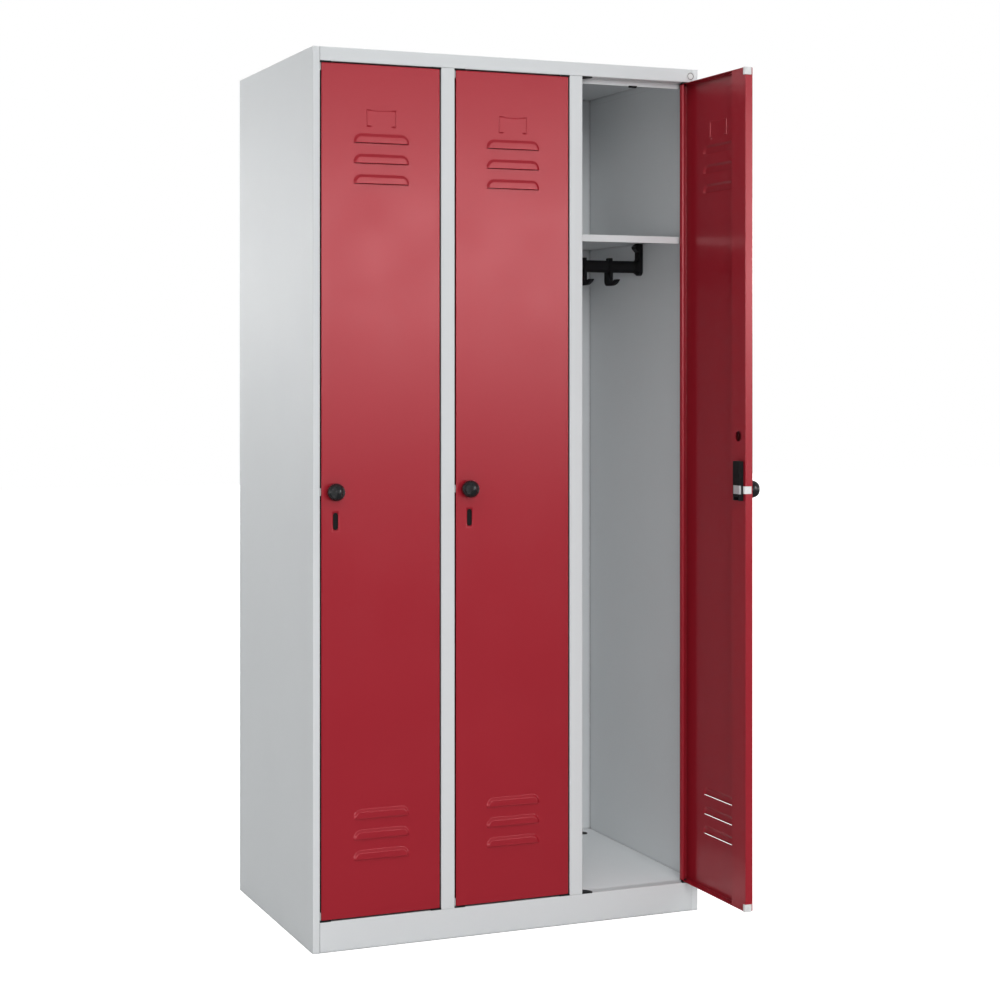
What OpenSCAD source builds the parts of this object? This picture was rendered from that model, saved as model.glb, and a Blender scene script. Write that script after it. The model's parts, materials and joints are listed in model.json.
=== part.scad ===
// School locker: three full-height compartments side by side in a folded sheet-steel carcass on a plinth.
// Origin: centre of the carcass footprint, on the floor. +Z is up, +X is right from the front, doors face -Y.
// Every door is hung on its right side; the right-hand door stands open at rest.

/* [Carcass] */
// Overall width over the side panels
carcass_w = 900; // [840:10:1100]
// Overall depth, front faces to back flanges
carcass_d = 500; // [450:10:600]
// Overall height, floor to roof
carcass_h = 1850; // [1750:10:1950]
// Thickness of the sheet steel
sheet = 1; // [0.8:0.1:1.2]
// Outside radius of a folded edge
fold_r = 2; // [1.6:0.1:2.5]
// Width of the post face beside each compartment opening
face_w = 15.5; // [15:0.5:20]
// Height of the front rail under the roof
top_rail_h = 29; // [24:1:40]
// Height of the plinth, which is also the floor level
plinth_h = 63; // [55:1:90]
// Distance from the front face back to the door stop lips
stop_set = 22; // [21.5:0.5:24]
// Width of the door stop lips
stop_lip = 9; // [8:0.5:10]

/* [Doors] */
// Gap around each door
door_gap = 3; // [2.8:0.1:3.5]
// Thickness of the door pan
door_t = 18; // [17:0.5:19]
// Hinge axis in from the side of the opening
hinge_in = 11.5; // [11.3:0.1:12]
// Hinge axis back from the front face
hinge_back = 8.5; // [8:0.1:8.7]
// Radius of a hinge pin
pin_r = 3; // [2.5:0.1:3.5]
// Angle at which the right-hand door stands open
open_angle = 90; // [0:5:105]
// Width of the stiffener along the lock edge
stiffener_w = 53; // [50:1:60]
// Height of the name-card frame above the floor, to its centre
card_z = 1708; // [1700:1:1720]

/* [Louvres] */
// Number of louvres in each group
louvre_count = 3; // [2:1:4]
// Width of a louvre along its open edge
louvre_w = 124; // [100:2:150]
// Height of a louvre
louvre_h = 18; // [14:1:22]
// Distance between louvres in a group
louvre_pitch = 42; // [36:1:50]
// How far a louvre stands out from the door
louvre_out = 4; // [3:0.5:5]
// Height of the open edge of the highest louvre
upper_louvres_z = 1657; // [1640:1:1665]
// Height of the open edge of the highest louvre in the lower group
lower_louvres_z = 268; // [240:1:300]

/* [Lock] */
// Lock axis in from the lock edge of the door
lock_in = 27.3; // [27:0.1:29]
// Lock axis above the floor
lock_z = 940.5; // [900:0.5:980]
// Radius of the round body of the knob
knob_r = 18.2; // [17:0.1:19]
// How far the knob stands out from the door
knob_out = 32.2; // [30:0.1:34]
// Crank radius that drives the bolt
crank_r = 8.5; // [8:0.1:8.6]
// Length of the upright slot under the knob
slot_l = 35.5; // [30:0.5:40]
// Width of that slot
slot_w = 11.3; // [9:0.1:12]
// Middle of that slot in from the lock edge of the door
slot_in = 30.6; // [28:0.1:32]

/* [Inside] */
// Top of the hat shelf above the floor
shelf_z = 1483; // [1450:1:1500]
// Height of the shelf's front lip
shelf_lip = 15; // [12:1:20]
// Height of the coat rail section
rail_h = 28; // [26:1:30]
// Depth of the coat rail section
rail_t = 15; // [13:0.5:16]
// Underside of the shelf to the top of the coat rail
rail_drop = 40.5; // [36:0.5:48]
// Distance between two hooks on a rail
hook_pitch = 67; // [66:1:70]
// Width of a hook along the rail
hook_w = 7; // [6:0.5:8]

/* [Hidden] */
$fn = 48;

frame_grey = [0.80, 0.81, 0.82];
door_red = [0.60, 0.16, 0.20];
plastic_black = [0.05, 0.05, 0.05];
plastic_white = [0.88, 0.88, 0.88];
steel = [0.62, 0.63, 0.64];

bays = 3;
bay_w = carcass_w / bays;
opening_w = bay_w - 2 * face_w;
opening_bottom = plinth_h;
opening_top = carcass_h - top_rail_h;
opening_h = opening_top - opening_bottom;
front = -carcass_d / 2;
rear = carcass_d / 2;
side = carcass_w / 2;
roof = carcass_h - sheet;
stop_y = front + stop_set;
fold = fold_r - sheet / 2;                     // radius of a fold along the middle of the sheet
run_clear = 0.05;                              // radial running clearance of pins and spindles
rear_flange_w = 20;
top_lip_h = 12;

// Door, in its own hinge frame: hinge axis at x = 0, y = 0, door closed along -X
hinge_y = front + hinge_back;
edge_hinge = hinge_in - door_gap;
edge_lock = edge_hinge - (opening_w - 2 * door_gap);
door_front = -hinge_back;
door_back = door_front + door_t;
door_bottom = opening_bottom + door_gap;
door_top = opening_top - door_gap;
hinge_return = 17;
door_mid = (edge_lock + edge_hinge) / 2;

// Lock, in the same frame
lock_x = edge_lock + lock_in;
slot_x = edge_lock + slot_in;
slot_z = lock_z - 60.5;
spindle_r = 6;
case_x = edge_lock + 7.5;
case_w = 24.5;
case_h = 82;
case_low = lock_z - 22.5;
crank_disc_r = 13;
crank_disc_t = 3;
crank_disc_y = -5;
crank_pin_r = 2;
crank_clear = 0.5;                             // the pin runs on an arc while the bolt runs straight
rest_pin_x = lock_x + crank_r * cos(45);
throw = 2 * crank_r * cos(45);
bolt_tip = case_x;
bolt_end = bolt_tip + 23;
bolt_y = stop_set - hinge_back + sheet + 0.8;  // front face of the bolt's nose, just behind the stop lip
bolt_t = 4;
bolt_h = 17.6;
bolt_web = 5;                                  // part of the bolt that passes through the stiffener
bolt_plate_y = crank_disc_y + crank_disc_t + 0.5;
bolt_plate_t = 3;
bolt_plate_h = 26;
bolt_plate_end = rest_pin_x + 7;
bolt_clear = 0.3;
case_back = bolt_y + bolt_t + 0.2;
window_x = bolt_end - bolt_web - throw - 1;    // window in the stiffener that the lock case fills
window_w = case_x + case_w - window_x;
window_h = 28;

// Inside fittings
bracket_w = 20;
bracket_arm = 10;
rail_top = shelf_z - sheet - rail_drop;
rail_mid = rail_top - rail_h / 2;
rail_clear = 0.4;
foot_x = side - 40;
foot_rear_y = rear - 38;
foot_front_y = front + 70;
foot_stud_r = 5;
foot_bracket_z = 16;
plug_r = 10;
plate_t = 2.8;
plate_r = 23.5;

function bay_x(i) = -side + bay_w * (i + 0.5);
function hinge_x(i) = bay_x(i) + opening_w / 2 - hinge_in;
function bay_left(i) = i == 0 ? -side + sheet : bay_x(i) - bay_w / 2 + sheet / 2;
function bay_right(i) = i == bays - 1 ? side - sheet : bay_x(i) + bay_w / 2 - sheet / 2;
function heading(a, b) = atan2(b[1] - a[1], b[0] - a[0]);
function turn(a, b, c) = let (t = heading(b, c) - heading(a, b)) t > 180 ? t - 360 : t < -180 ? t + 360 : t;

// Points of one rounded corner at b, on the left (s = 1) or right (s = -1) of the strip's middle line
function corner(a, b, c, s) =
    let (h = heading(a, b), t = turn(a, b, c), w = sign(t), steps = 4,
         centre = b + fold * ([-cos(h), -sin(h)] + w * [-sin(h), cos(h)]),
         r = fold - w * s * sheet / 2)
    [for (k = [0 : steps]) centre + r * [cos(h - w * 90 + t * k / steps), sin(h - w * 90 + t * k / steps)]];

// One side of a folded strip, from its first to its last point
function strip_side(p, s) =
    let (n = len(p) - 1, h0 = heading(p[0], p[1]), h1 = heading(p[n - 1], p[n]))
    concat([p[0] + s * sheet / 2 * [-sin(h0), cos(h0)]],
           [for (i = [1 : 1 : n - 1]) each corner(p[i - 1], p[i], p[i + 1], s)],
           [p[n] + s * sheet / 2 * [-sin(h1), cos(h1)]]);

function reversed(list) = [for (i = [len(list) - 1 : -1 : 0]) list[i]];

// Section of a sheet folded along the middle line p
module strip(p) {
    polygon(concat(strip_side(p, 1), reversed(strip_side(p, -1))));
}

// Box from its low corner to its high corner
module span(low, high) {
    translate(low) cube(high - low);
}

// Extrudes a section drawn in Y and Z along X, from x0 to x1
module along_x(x0, x1) {
    translate([x0, 0, 0]) rotate([90, 0, 90]) linear_extrude(x1 - x0) children();
}

// Extrudes a section drawn in X and Z along Y, from y0 to y1
module along_y(y0, y1) {
    translate([0, y1, 0]) rotate([90, 0, 0]) linear_extrude(y1 - y0) children();
}

// Round bar or bore along Y
module rod_y(x, z, r, y0, y1) {
    translate([x, y1, z]) rotate([90, 0, 0]) cylinder(h = y1 - y0, r = r);
}

// Upright section with round ends
module oval(w, h) {
    square([w, h - w], center = true);
    for (s = [-1, 1]) translate([0, s * (h - w) / 2]) circle(d = w);
}

// Puts a piece drawn in a door's hinge frame where that door stands at rest
module on_door(i) {
    translate([hinge_x(i), hinge_y, 0]) rotate([0, 0, i == bays - 1 ? open_angle : 0]) children();
}

// ---- Carcass ----

// Side panel folded at the front into the post and its stop lip, and at the back into a flange
module side_panel() {
    color(frame_grey)
    linear_extrude(roof) strip([
        [-side + face_w + stop_lip, stop_y + sheet / 2],
        [-side + face_w - sheet / 2, stop_y + sheet / 2],
        [-side + face_w - sheet / 2, front + sheet / 2],
        [-side + sheet / 2, front + sheet / 2],
        [-side + sheet / 2, rear - sheet / 2],
        [-side + rear_flange_w, rear - sheet / 2]
    ]);
}

// Partition sheet behind its post, x is its middle
module partition(x) {
    color(frame_grey) {
        span([x - sheet / 2, front + sheet, opening_bottom], [x + sheet / 2, stop_y + sheet, opening_top]);
        span([x - sheet / 2, stop_y + sheet, opening_bottom], [x + sheet / 2, rear - 2 * sheet, roof]);
    }
}

// Hat-section post welded to the front edge of a partition, with a stop lip on both sides
module post(x) {
    color(frame_grey)
    translate([x, 0, opening_bottom]) linear_extrude(opening_h) strip([
        [-face_w - stop_lip, stop_y + sheet / 2],
        [-face_w + sheet / 2, stop_y + sheet / 2],
        [-face_w + sheet / 2, front + sheet / 2],
        [face_w - sheet / 2, front + sheet / 2],
        [face_w - sheet / 2, stop_y + sheet / 2],
        [face_w + stop_lip, stop_y + sheet / 2]
    ]);
}

module back_panel() {
    color(frame_grey)
    span([-side + fold_r, rear - 2 * sheet, 0], [side - fold_r, rear - sheet, roof]);
}

// Roof sheet with a locating flange inside each side panel
module top_panel() {
    flange_h = 14;
    flange_y = rear - 30;
    color(frame_grey) {
        span([-side, front, roof], [side, rear, carcass_h]);
        for (x = [-side + sheet, side - 2 * sheet])
            span([x, -flange_y, roof - flange_h], [x + sheet, flange_y, roof]);
    }
}

// Front rail under the roof: face, underside and a stop lip in each opening
module top_rail() {
    inner = side - face_w;
    lip_half = opening_w / 2 - stop_lip;
    color(frame_grey) {
        along_x(-inner, inner) strip([
            [front + sheet / 2, roof],
            [front + sheet / 2, opening_top + sheet / 2],
            [stop_y - sheet, opening_top + sheet / 2]
        ]);
        for (i = [0 : bays - 1])
            along_x(bay_x(i) - lip_half, bay_x(i) + lip_half) strip([
                [stop_y - fold_r - sheet, opening_top + sheet / 2],
                [stop_y + sheet / 2, opening_top + sheet / 2],
                [stop_y + sheet / 2, opening_top - top_lip_h]
            ]);
    }
}

// Floor sheet on the plinth, with a bracket for each levelling foot and access holes over the rear pair
module floor_panel() {
    color(frame_grey)
    difference() {
        union() {
            span([-side + sheet, stop_y + sheet, plinth_h - sheet],
                 [side - sheet, rear - 2 * sheet, plinth_h]);
            for (sx = [-1, 1], y = [foot_front_y, foot_rear_y])
                translate([sx * foot_x, y, 0]) foot_bracket();
        }
        for (sx = [-1, 1])
            translate([sx * foot_x, foot_rear_y, plinth_h - 2 * sheet]) cylinder(h = 4 * sheet, r = plug_r);
        for (sx = [-1, 1], y = [foot_front_y, foot_rear_y])
            translate([sx * foot_x, y, 0]) cylinder(h = 2 * foot_bracket_z, r = foot_stud_r + run_clear);
    }
}

// Plate that a levelling foot screws through, hung from the floor sheet by a web at each side
module foot_bracket() {
    w = 56;
    d = 26;
    plate_h = 6;
    web = 2;
    span([-w / 2, -d / 2, foot_bracket_z], [w / 2, d / 2, foot_bracket_z + plate_h]);
    for (x = [-w / 2, w / 2 - web])
        span([x, -d / 2, foot_bracket_z], [x + web, d / 2, plinth_h - sheet]);
}

// Welded base frame: front plinth with the ledge below the doors, and rails along both sides and the back.
// The locker stands on the flange round its lower edge.
module plinth() {
    inner = side - face_w;
    clear_x = inner - stop_lip - sheet / 2;
    flange = 15;
    rail_rise = 40;
    back_y = rear - 2 * sheet;
    side_x = side - sheet;
    behind_lip = stop_y + 2 * sheet;
    color(frame_grey) {
        along_x(-inner, inner) strip([
            [stop_y - fold_r, sheet / 2],
            [front + sheet / 2, sheet / 2],
            [front + sheet / 2, plinth_h - sheet / 2],
            [stop_y - fold_r, plinth_h - sheet / 2]
        ]);
        span([-clear_x, stop_y - 2 * fold_r, plinth_h - sheet], [clear_x, stop_y + sheet, plinth_h]);
        span([-clear_x, stop_y - 2 * fold_r, 0], [clear_x, behind_lip + flange, sheet]);
        for (s = [0, 1]) mirror([s, 0, 0]) {
            span([side_x - flange, behind_lip, 0], [side_x, back_y, sheet]);
            span([side_x - sheet, behind_lip, 0], [side_x, back_y, rail_rise]);
        }
        span([-side_x, behind_lip, 0], [side_x, behind_lip + flange, sheet]);
        span([-side_x, back_y - flange, 0], [side_x, back_y, sheet]);
        span([-side_x, back_y - sheet, 0], [side_x, back_y, rail_rise]);
    }
}

// ---- Inside fittings ----

module hat_shelf(i) {
    up = 12;
    shelf_front = stop_y + sheet;
    shelf_rear = rear - 2 * sheet;
    color(frame_grey) {
        along_x(bay_left(i), bay_right(i)) strip([
            [shelf_front + sheet / 2, shelf_z - shelf_lip],
            [shelf_front + sheet / 2, shelf_z - sheet / 2],
            [shelf_rear - sheet / 2, shelf_z - sheet / 2],
            [shelf_rear - sheet / 2, shelf_z + up]
        ]);
        for (x = [bay_left(i), bay_right(i) - sheet])
            span([x, shelf_front + up, shelf_z - sheet], [x + sheet, shelf_rear - fold_r, shelf_z + up]);
    }
}

// Oval tube across the compartment
module coat_rail(i) {
    inset = bracket_arm - 3;
    wall = 1.5;
    color(plastic_black)
    translate([0, 0, rail_mid]) along_x(bay_left(i) + inset, bay_right(i) - inset)
        difference() {
            oval(rail_t, rail_h);
            oval(rail_t - 2 * wall, rail_h - 2 * wall);
        }
}

// Hanger at one end of a rail: arm with a rounded end, a nose under the shelf and a socket for the rail
module rail_bracket() {
    arm_low = rail_mid - rail_h / 2 - 6;
    arm_high = shelf_z - sheet;
    nose = 9;
    socket = 5;
    socket_wall = 2.5;
    pocket = 3;
    difference() {
        union() {
            along_x(0, bracket_arm) {
                translate([-bracket_w / 2, arm_low + bracket_w / 2])
                    square([bracket_w, arm_high - arm_low - bracket_w / 2]);
                translate([0, arm_low + bracket_w / 2]) circle(d = bracket_w);
            }
            along_y(-bracket_w / 2, bracket_w / 2) polygon([
                [0, arm_high], [bracket_arm, arm_high], [bracket_arm + nose, arm_high - 7],
                [bracket_arm + nose - 1, arm_high - 12], [bracket_arm, arm_high - 20], [0, arm_high - 20]
            ]);
            translate([0, 0, rail_mid]) along_x(0, bracket_arm + socket)
                oval(rail_t + 2 * socket_wall, rail_h + 2 * socket_wall);
        }
        translate([0, 0, rail_mid]) along_x(bracket_arm - pocket, bracket_arm + socket + 1)
            oval(rail_t + 0.2, rail_h + 0.2);
    }
}

module rail_brackets() {
    color(plastic_black)
    for (i = [0 : bays - 1]) {
        translate([bay_left(i), 0, 0]) rail_bracket();
        translate([bay_right(i), 0, 0]) mirror([1, 0, 0]) rail_bracket();
    }
}

// Hook that rides on the rail: band with a flat crown, round-backed body below, and a horn at the front
module hook(i, place) {
    wall = 2.6;
    band_w = rail_t + 2 * (rail_clear + wall);
    band_h = rail_h + 2 * (rail_clear + wall);
    crown_w = 19;
    crown_h = 10;
    crown_top = rail_h / 2 + 6;
    crown_r = 2.5;
    body_front = -10.3;
    body_back = 18.5;
    body_low = -44;
    heel_r = 12;
    shoulder_r = 6;
    shoulder_z = -16;
    horn_r = 46;
    horn_y = -13;
    horn_end = -44.5;
    horn_top = -30.5;
    throat_r = 9;
    heel_y = body_back - heel_r;
    heel_z = body_low + heel_r;
    shoulder_y = body_back - shoulder_r;
    color(plastic_black)
    translate([bay_x(i) + place * hook_pitch, 0, rail_mid - rail_clear + run_clear])
    along_x(-hook_w / 2, hook_w / 2)
    difference() {
        union() {
            oval(band_w, band_h);
            translate([-crown_w / 2, crown_top - crown_h]) square([crown_w, crown_h - crown_r]);
            translate([-crown_w / 2 + crown_r, crown_top - crown_r])
                square([crown_w - 2 * crown_r, crown_r]);
            for (s = [-1, 1])
                translate([s * (crown_w / 2 - crown_r), crown_top - crown_r]) circle(r = crown_r);
            translate([body_front, heel_z])
                square([shoulder_y - body_front, shoulder_z + shoulder_r - heel_z]);
            translate([shoulder_y, heel_z]) square([shoulder_r, shoulder_z - heel_z]);
            translate([shoulder_y, shoulder_z]) circle(r = shoulder_r);
            translate([horn_y, body_low]) square([heel_y - horn_y, heel_r]);
            translate([heel_y, heel_z]) circle(r = heel_r);
            intersection() {
                translate([horn_y, body_low + horn_r]) circle(r = horn_r, $fn = 4 * $fn);
                translate([horn_end, body_low]) square([-horn_end, horn_top - body_low]);
            }
        }
        oval(rail_t + 2 * rail_clear, rail_h + 2 * rail_clear);
        translate([body_front - throat_r, horn_top + throat_r / 2]) circle(r = throat_r);
    }
}

// ---- Doors ----

// Outline of a louvre: straight open edge below, rounded corners above, pulled in by d
module louvre_outline(d) {
    r = louvre_h - 2;
    w = louvre_w - 2 * d;
    h = louvre_h - d;
    translate([-w / 2 + r, 0]) square([w - 2 * r, h]);
    for (s = [-1, 1]) intersection() {
        translate([s * (w / 2 - r), h - r]) circle(r = r);
        translate([-w / 2, 0]) square([w, h]);
    }
}

// Louvre hood on the outside of a door, d pulls its surface in for the hollow behind it
module louvre_hood(d) {
    slope = 5;
    intersection() {
        along_y(door_front - louvre_out - 1, door_front + sheet) louvre_outline(d);
        along_x(-louvre_w, louvre_w) polygon([
            [door_front + sheet, 0], [door_front - louvre_out + d, 0],
            [door_front - louvre_out + d, louvre_h - slope], [door_front + d, louvre_h - d],
            [door_front + sheet, louvre_h - d]
        ]);
    }
}

module each_louvre() {
    for (z = [upper_louvres_z, lower_louvres_z], k = [0 : louvre_count - 1])
        translate([door_mid, 0, z - k * louvre_pitch]) children();
}

// Raised frame that holds a name card, open at the top
module card_frame() {
    card_w = 64;
    card_h = 33;
    catch = 10;
    ridge = 1.4;
    rise = 0.7;
    for (s = [-1, 1]) {
        span([s * card_w / 2 - ridge / 2, door_front - rise, -card_h / 2],
             [s * card_w / 2 + ridge / 2, door_front, card_h / 2]);
        for (z = [-card_h / 2, card_h / 2 - ridge])
            span([s > 0 ? card_w / 2 - catch : -card_w / 2, door_front - rise, z],
                 [s > 0 ? card_w / 2 : -card_w / 2 + catch, door_front, z + ridge]);
    }
}

// Door pan: skin and side flanges from one sheet, with top and bottom flanges bored for the hinge pins
module door(i) {
    color(door_red)
    on_door(i) difference() {
        union() {
            translate([0, 0, door_bottom]) linear_extrude(door_top - door_bottom) strip([
                [edge_hinge - hinge_return, door_back - sheet / 2],
                [edge_hinge - sheet / 2, door_back - sheet / 2],
                [edge_hinge - sheet / 2, door_front + sheet / 2],
                [edge_lock + sheet / 2, door_front + sheet / 2],
                [edge_lock + sheet / 2, door_back]
            ]);
            for (z = [door_bottom, door_top - sheet])
                span([edge_lock + sheet / 2, door_front + sheet / 2, z],
                     [edge_hinge - sheet / 2, door_back - sheet / 2, z + sheet]);
            each_louvre() louvre_hood(0);
            translate([door_mid, 0, card_z]) card_frame();
        }
        each_louvre() louvre_hollow();
        for (z = [door_bottom - sheet, door_top - 2 * sheet])
            translate([0, 0, z]) cylinder(h = 3 * sheet, r = pin_r + run_clear);
        rod_y(lock_x, lock_z, spindle_r + 1, door_front - 1, door_front + 2 * sheet);
        translate([slot_x, 0, slot_z]) along_y(door_front - 1, door_front + 2 * sheet) oval(slot_w, slot_l);
    }
}

// Hollow behind a hood, open downwards and into the door
module louvre_hollow() {
    translate([0, 0, -0.01]) louvre_hood(sheet);
    along_y(door_front - 0.01, door_front + 2 * sheet) translate([0, -0.01]) louvre_outline(2 * sheet);
}

// Stiffener that closes the lock side of the pan into a box
module door_stiffener(i) {
    inner = edge_lock + stiffener_w;
    weld_foot = 12;
    spare_hole_r = 11;
    spare_hole_z = lock_z + 111;
    color(door_red)
    on_door(i) difference() {
        translate([0, 0, door_bottom + sheet]) linear_extrude(door_top - door_bottom - 2 * sheet) strip([
            [edge_lock + sheet, door_back - sheet / 2],
            [inner - sheet / 2, door_back - sheet / 2],
            [inner - sheet / 2, door_front + 1.5 * sheet],
            [inner - weld_foot, door_front + 1.5 * sheet]
        ]);
        span([window_x, door_back - 2 * sheet, lock_z - window_h / 2],
             [window_x + window_w, door_back + 1, lock_z + window_h / 2]);
        rod_y(lock_x, spare_hole_z, spare_hole_r, door_back - 2 * sheet, door_back + 1);
    }
}

// Dark blanking piece behind the slot
module slot_insert(i) {
    margin = 6;
    y0 = door_front + sheet;
    color(plastic_black)
    on_door(i) translate([slot_x, 0, slot_z]) {
        along_y(y0, y0 + 2.5) difference() {
            oval(slot_w + margin, slot_l + margin);
            oval(slot_w, slot_l);
        }
        along_y(y0 + 2.5, y0 + 4) oval(slot_w + margin, slot_l + margin);
    }
}

// White clips on the lock edge: at the top corner, beside the lock and at the bottom corner
module door_buffers(i) {
    clip_h = 15.5;
    proud = 1.2;
    pad = 2.8;
    edge_cover = 14;
    back_cover = 4.5;
    button_r = 4.5;
    color(plastic_white)
    on_door(i) for (z = [door_bottom, lock_z - clip_h / 2, door_top - clip_h]) {
        span([edge_lock - proud, door_back - edge_cover, z], [edge_lock, door_back + pad, z + clip_h]);
        span([edge_lock - proud, door_back, z], [edge_lock + back_cover, door_back + pad, z + clip_h]);
        translate([edge_lock - proud, door_back - edge_cover / 2 + 1, z + clip_h / 2])
            rotate([0, -90, 0]) cylinder(h = 0.5, r = button_r);
    }
}

// ---- Lock, drawn with the bolt drawn back ----

// Black housing joined through the window in the stiffener: behind it the part that shows the bolt's nose,
// with a notch in its lower edge, and inside the door the part round the crank
module lock_case(i) {
    inner_front = door_front + 2 * sheet + 0.1;
    inner_back = door_back - sheet - 0.1;
    inner_end = bolt_plate_end + 3;
    inner_half = 17;
    neck = 0.1;
    notch_in = 4.5;
    notch_h = 7;
    disc_room = 0.5;
    web_low = window_x + 0.8;
    half_plate = bolt_plate_h / 2 + bolt_clear;
    half_bolt = bolt_h / 2 + bolt_clear;
    plate_low = bolt_plate_y - bolt_clear;
    color(plastic_black)
    on_door(i) difference() {
        union() {
            span([case_x, door_back, case_low], [case_x + case_w, case_back, case_low + case_h]);
            span([window_x + neck, inner_back, lock_z - window_h / 2 + neck],
                 [window_x + window_w - neck, door_back, lock_z + window_h / 2 - neck]);
            span([window_x, inner_front, lock_z - inner_half],
                 [inner_end, inner_back, lock_z + inner_half]);
        }
        rod_y(lock_x, lock_z, spindle_r + run_clear, inner_front - 1, crank_disc_y);
        rod_y(lock_x, lock_z, crank_disc_r + disc_room, crank_disc_y - 0.2, bolt_plate_y);
        span([web_low, plate_low, lock_z - half_plate],
             [bolt_plate_end + bolt_clear, bolt_plate_y + bolt_plate_t + bolt_clear, lock_z + half_plate]);
        span([web_low, plate_low, lock_z - half_bolt],
             [bolt_end + bolt_clear, case_back + 1, lock_z + half_bolt]);
        span([case_x - 1, bolt_y - bolt_clear, lock_z - half_bolt],
             [bolt_end, case_back + 1, lock_z + half_bolt]);
        span([case_x + notch_in, door_back - 0.01, case_low - 1],
             [case_x + case_w - notch_in, case_back + 1, case_low + notch_h]);
    }
}

// Bolt: nose behind the stiffener, web through it, and a guided plate with a slot for the crank pin
module latch_bolt(i) {
    slot_half = crank_pin_r + crank_clear;
    slot_top = crank_r + crank_pin_r + 0.4;
    web_x = bolt_end - bolt_web;
    color(steel)
    on_door(i) difference() {
        union() {
            span([bolt_tip, bolt_y, lock_z - bolt_h / 2], [bolt_end, bolt_y + bolt_t, lock_z + bolt_h / 2]);
            span([web_x, bolt_plate_y, lock_z - bolt_h / 2],
                 [bolt_end, bolt_y + bolt_t, lock_z + bolt_h / 2]);
            span([web_x, bolt_plate_y, lock_z - bolt_plate_h / 2],
                 [bolt_plate_end, bolt_plate_y + bolt_plate_t, lock_z + bolt_plate_h / 2]);
        }
        span([rest_pin_x - slot_half, bolt_plate_y - 1, lock_z + 2],
             [rest_pin_x + slot_half, bolt_plate_y + bolt_plate_t + 1, lock_z + slot_top]);
    }
}

// Spindle from the knob into the door, with the crank disc and its pin
module lock_spindle(i) {
    color(steel)
    on_door(i) {
        rod_y(lock_x, lock_z, spindle_r, door_front - 0.2, crank_disc_y + crank_disc_t);
        rod_y(lock_x, lock_z, crank_disc_r, crank_disc_y, crank_disc_y + crank_disc_t);
        rod_y(rest_pin_x, lock_z + crank_r * sin(45), crank_pin_r,
              crank_disc_y, bolt_plate_y + bolt_plate_t - 0.5);
    }
}

// Turning knob: short neck, round body, and two scoops in its front that leave an upright finger ridge
module knob(i) {
    clear = 0.2;
    neck_r = 12.5;
    neck_l = 5;
    middle = knob_out - knob_r;
    scoop_r = 12;
    scoop_x = 15.5;
    scoop_out = 4;
    color(plastic_black)
    on_door(i) translate([lock_x, door_front, lock_z]) rotate([90, 0, 0])
    difference() {
        union() {
            translate([0, 0, clear]) cylinder(h = neck_l, r = neck_r);
            intersection() {
                translate([0, 0, middle]) sphere(r = knob_r);
                translate([0, 0, clear]) cylinder(h = knob_out, r = knob_r + 1);
            }
        }
        for (s = [-1, 1])
            translate([s * scoop_x, knob_r + 1, knob_out + scoop_out])
                rotate([90, 0, 0]) cylinder(h = 2 * knob_r + 2, r = scoop_r);
    }
}

// ---- Hinges and small parts ----

// Plastic bearing plate in one corner of an opening, corner at the origin, opening towards +X and +Y
module corner_plate() {
    difference() {
        intersection() {
            cylinder(h = plate_t, r = plate_r);
            cube([plate_r + 1, stop_set - (fold_r - sheet) - 0.1, plate_t]);
        }
        translate([hinge_in, hinge_back, -1]) cylinder(h = plate_t + 2, r = pin_r + run_clear);
    }
}

module corner_plates() {
    color(plastic_black)
    for (i = [0 : bays - 1], sx = [0, 1], z = [opening_bottom, opening_top - plate_t])
        translate([bay_x(i) + (sx - 0.5) * opening_w, front, z]) mirror([sx, 0, 0]) corner_plate();
}

// Pins standing on the plinth ledge and hanging from the top rail, through the corner plates into the doors
module hinge_pins() {
    pin_l = door_gap + sheet + 1;
    color(plastic_black)
    for (i = [0 : bays - 1], z = [opening_bottom, opening_top - pin_l])
        translate([hinge_x(i), hinge_y, z]) cylinder(h = pin_l, r = pin_r);
}

// Black rubber clips on the lower edge of the top rail's stop lip, in the middle of each opening
module stop_buffers() {
    clip_w = 20;
    below = 3;
    front_h = 1.2;
    back_h = 8;
    end_r = 2.8;
    lip_low = opening_top - top_lip_h;
    color(plastic_black)
    for (i = [0 : bays - 1]) translate([bay_x(i), 0, 0]) {
        along_y(stop_y - 0.8, stop_y) clip_section(clip_w, lip_low - below, lip_low + front_h, end_r);
        along_y(stop_y, stop_y + sheet) clip_section(clip_w, lip_low - below, lip_low, end_r);
        along_y(stop_y + sheet, stop_y + sheet + 2)
            clip_section(clip_w, lip_low - below, lip_low + back_h, end_r);
    }
}

// Section of a clip with rounded lower corners, from z0 to z1
module clip_section(w, z0, z1, r) {
    intersection() {
        translate([-w / 2, z0]) square([w, z1 - z0]);
        union() {
            translate([-w / 2 + r, z0]) square([w - 2 * r, z1 - z0]);
            translate([-w / 2, z0 + r]) square([w, z1 - z0]);
            for (s = [-1, 1]) translate([s * (w / 2 - r), z0 + r]) circle(r = r);
        }
    }
}

// Plugs in the floor over the rear levelling feet
module floor_plugs() {
    rim = 1;
    color(plastic_black)
    for (sx = [-1, 1]) translate([sx * foot_x, foot_rear_y, 0]) {
        translate([0, 0, plinth_h]) cylinder(h = 1.2, r = plug_r + rim);
        translate([0, 0, plinth_h - 5]) cylinder(h = 5, r = plug_r - 0.2);
    }
}

// Plain round badge with a raised rim and no mark
module blank_badge() {
    badge_r = 9;
    badge_in = 19;
    badge_z = carcass_h - 15.2;
    badge_t = 1.2;
    rim = 1.2;
    dish = 0.5;
    color(plastic_white)
    difference() {
        rod_y(side - badge_in, badge_z, badge_r, front - badge_t, front);
        rod_y(side - badge_in, badge_z, badge_r - rim, front - badge_t - 1, front - badge_t + dish);
    }
}

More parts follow.
